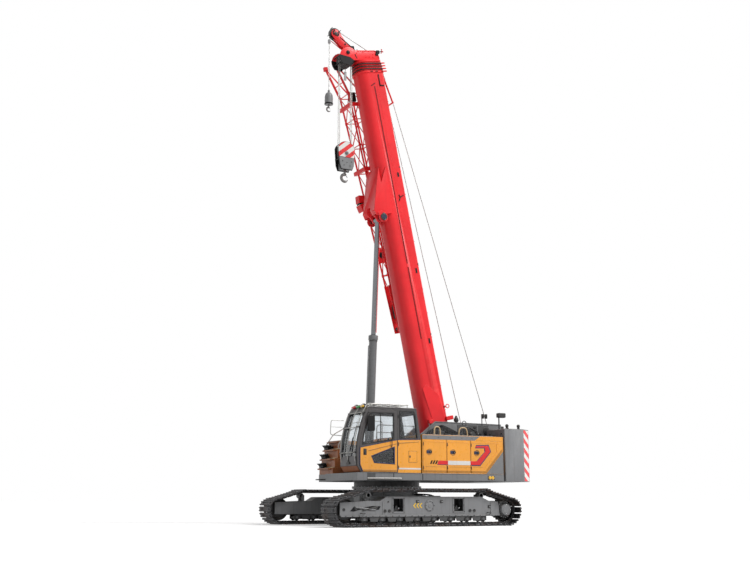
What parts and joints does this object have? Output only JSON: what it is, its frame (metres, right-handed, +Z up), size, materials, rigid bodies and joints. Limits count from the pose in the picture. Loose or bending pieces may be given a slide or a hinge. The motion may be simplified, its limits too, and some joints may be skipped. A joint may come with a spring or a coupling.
{
  "type": "telescopic crawler crane",
  "caption": "Crawler crane with a raised telescopic boom, stowed lattice jib, hook block and overhaul ball on a slewing body.",
  "frame": {"origin": "on the ground at the centre of the footprint box, 0.6375 m behind the slew axis", "axes": "+X forward, the way the boom points, +Y to the left, +Z up"},
  "size_m": [7.2221, 5.21, 15.1304],
  "materials": {
    "boom_red": "gloss paint",
    "body_orange": "gloss paint",
    "frame_grey": "satin paint",
    "cab_grey": "satin paint",
    "track_steel": "worn steel",
    "black_steel": "dark paint",
    "rope_steel": "greased wire",
    "chrome": "polished",
    "cylinder_grey": "satin paint",
    "glass": "clear",
    "seat_cloth": "woven"
  },
  "bodies": {
    "carbody": {"carbody": "frame_grey", "slew_ring": "black_steel"},
    "left_crawler": {"left_crawler_frame": "frame_grey", "left_track": "track_steel", "left_drive_sprocket": "black_steel", "left_idler": "black_steel", "left_track_rollers": "black_steel"},
    "right_crawler": {"right_crawler_frame": "frame_grey", "right_track": "track_steel", "right_drive_sprocket": "black_steel", "right_idler": "black_steel", "right_track_rollers": "black_steel"},
    "superstructure": {"main_frame": "frame_grey", "counterweight": "frame_grey", "cab_shell": "cab_grey", "windscreen": "glass", "rear_side_glass": "glass", "boom_side_glass": "glass", "operator_seat": "seat_cloth", "control_console": "cab_grey", "left_housing": "body_orange", "right_housing": "body_orange", "engine": "black_steel", "fuel_tank": "body_orange", "step_boxes": "body_orange"},
    "cab_door": {"cab_door": "body_orange", "door_glass": "glass", "door_low_glass": "glass"},
    "boom_base": {"boom_base_section": "boom_red", "luff_bracket": "boom_red", "rope_guide_arm": "boom_red", "lattice_jib": "boom_red"},
    "boom_section_2": {"boom_section_2": "boom_red"},
    "boom_section_3": {"boom_section_3": "boom_red"},
    "boom_section_4": {"boom_section_4": "boom_red"},
    "boom_tip": {"boom_tip_section": "boom_red", "boom_head": "boom_red", "head_sheaves": "black_steel", "rear_head_sheaves": "black_steel", "tip_sheave_arm": "boom_red", "tip_sheave": "black_steel"},
    "luff_barrel": {"luff_cylinder_barrel": "cylinder_grey"},
    "luff_rod": {"luff_cylinder_rod": "chrome"},
    "main_hang": {"main_rope_socket": "black_steel"},
    "main_hook": {"main_hook_block": "frame_grey", "main_hook": "black_steel"},
    "single_hang": {"single_line_limit_weight": "black_steel"},
    "single_hook": {"overhaul_ball": "frame_grey", "single_line_hook": "black_steel"},
    "rear_winch": {"rear_winch_drum": "rope_steel"},
    "front_winch": {"front_winch_drum": "rope_steel"},
    "rear_rope": {"rear_winch_rope": "rope_steel"},
    "front_rope": {"front_winch_rope": "rope_steel"},
    "left_front_door": {"left_front_service_door": "body_orange"},
    "left_middle_door": {"left_middle_service_door": "body_orange"},
    "left_rear_door": {"left_rear_service_door": "body_orange"},
    "right_front_door": {"right_front_service_door": "body_orange"},
    "right_middle_door": {"right_middle_service_door": "body_orange"},
    "right_rear_door": {"right_rear_service_door": "body_orange"}
  },
  "joints": [
    {"name": "slew", "type": "hinge", "parent": "carbody", "child": "superstructure", "pos_m": [0.6375, 0, 1.235], "axis": [0, 0, 1], "continuous": true},
    {"name": "left_gauge", "type": "slide", "parent": "carbody", "child": "left_crawler", "axis": [0, 1, 0], "range_m": [-0.85, 0]},
    {"name": "right_gauge", "type": "slide", "parent": "carbody", "child": "right_crawler", "axis": [0, -1, 0], "range_m": [-0.85, 0]},
    {"name": "boom_luff", "type": "hinge", "parent": "superstructure", "child": "boom_base", "pos_m": [-1.1525, 0, 2.66], "axis": [0, -1, 0], "range_deg": [-78.4, 0]},
    {"name": "luff_cylinder_swing", "type": "hinge", "parent": "superstructure", "child": "luff_barrel", "pos_m": [1.2375, 0, 1.62], "axis": [0, -1, 0], "range_deg": [-89, 0]},
    {"name": "luff_cylinder_stroke", "type": "slide", "parent": "luff_barrel", "child": "luff_rod", "axis": [-0.04, 0, 0.9992], "range_m": [-3.15, 0]},
    {"name": "boom_telescope", "type": "slide", "parent": "boom_base", "child": "boom_section_2", "axis": [0.2011, 0, 0.9796], "range_m": [0, 8.75]},
    {"name": "boom_telescope_3", "type": "slide", "parent": "boom_base", "child": "boom_section_3", "axis": [0.2011, 0, 0.9796], "range_m": [0, 17.5]},
    {"name": "boom_telescope_4", "type": "slide", "parent": "boom_base", "child": "boom_section_4", "axis": [0.2011, 0, 0.9796], "range_m": [0, 26.25]},
    {"name": "boom_telescope_tip", "type": "slide", "parent": "boom_base", "child": "boom_tip", "axis": [0.2011, 0, 0.9796], "range_m": [0, 35]},
    {"name": "main_line_swing", "type": "hinge", "parent": "boom_tip", "child": "main_hang", "pos_m": [2.07297, 0, 14.14603], "axis": [0, -1, 0], "range_deg": [0, 78.4]},
    {"name": "main_hoist", "type": "slide", "parent": "main_hang", "child": "main_hook", "axis": [0, 0, -1], "range_m": [-2.12, 8.5]},
    {"name": "single_line_swing", "type": "hinge", "parent": "boom_tip", "child": "single_hang", "pos_m": [2.44758, 0, 14.92665], "axis": [0, -1, 0], "range_deg": [0, 78.4]},
    {"name": "single_hoist", "type": "slide", "parent": "single_hang", "child": "single_hook", "axis": [0, 0, -1], "range_m": [-1.5, 12.2]},
    {"name": "rear_winch_turn", "type": "hinge", "parent": "superstructure", "child": "rear_winch", "pos_m": [-2.7075, 0, 2.72], "axis": [0, 1, 0], "continuous": true},
    {"name": "front_winch_turn", "type": "hinge", "parent": "superstructure", "child": "front_winch", "pos_m": [-1.9375, 0, 2.69], "axis": [0, 1, 0], "continuous": true},
    {"name": "rear_rope_swing", "type": "hinge", "parent": "superstructure", "child": "rear_rope", "pos_m": [-2.7075, 0.15, 2.72], "axis": [0, -1, 0], "range_deg": [-71, 0]},
    {"name": "front_rope_swing", "type": "hinge", "parent": "superstructure", "child": "front_rope", "pos_m": [-1.9375, -0.15, 2.69], "axis": [0, -1, 0], "range_deg": [-74.6, 0]},
    {"name": "cab_door_hinge", "type": "hinge", "parent": "superstructure", "child": "cab_door", "pos_m": [1.1355, 1.55, 2.3], "axis": [0, 0, 1], "range_deg": [0, 95]},
    {"name": "left_front_door_hinge", "type": "hinge", "parent": "superstructure", "child": "left_front_door", "pos_m": [-0.4915, 1.55, 1.9], "axis": [0, 0, 1], "range_deg": [0, 100]},
    {"name": "left_middle_door_hinge", "type": "hinge", "parent": "superstructure", "child": "left_middle_door", "pos_m": [-1.3095, 1.55, 1.9], "axis": [0, 0, 1], "range_deg": [0, 100]},
    {"name": "left_rear_door_hinge", "type": "hinge", "parent": "superstructure", "child": "left_rear_door", "pos_m": [-2.4295, 1.55, 1.9], "axis": [0, 0, 1], "range_deg": [0, 100]},
    {"name": "right_front_door_hinge", "type": "hinge", "parent": "superstructure", "child": "right_front_door", "pos_m": [-0.4915, -1.55, 1.9], "axis": [0, 0, -1], "range_deg": [0, 100]},
    {"name": "right_middle_door_hinge", "type": "hinge", "parent": "superstructure", "child": "right_middle_door", "pos_m": [-1.3095, -1.55, 1.9], "axis": [0, 0, -1], "range_deg": [0, 100]},
    {"name": "right_rear_door_hinge", "type": "hinge", "parent": "superstructure", "child": "right_rear_door", "pos_m": [-2.4295, -1.55, 1.9], "axis": [0, 0, -1], "range_deg": [0, 100]}
  ],
  "couplings": [
    {"joint": "luff_cylinder_swing", "follows": "boom_luff", "ratio": 1.1274},
    {"joint": "luff_cylinder_stroke", "follows": "boom_luff", "m_per_rad": 2.2937},
    {"joint": "main_line_swing", "follows": "boom_luff", "ratio": -1},
    {"joint": "single_line_swing", "follows": "boom_luff", "ratio": -1},
    {"joint": "rear_rope_swing", "follows": "boom_luff", "ratio": 0.901},
    {"joint": "front_rope_swing", "follows": "boom_luff", "ratio": 0.94945},
    {"joint": "boom_telescope_3", "follows": "boom_telescope", "ratio": 2},
    {"joint": "boom_telescope_4", "follows": "boom_telescope", "ratio": 3},
    {"joint": "boom_telescope_tip", "follows": "boom_telescope", "ratio": 4}
  ]
}
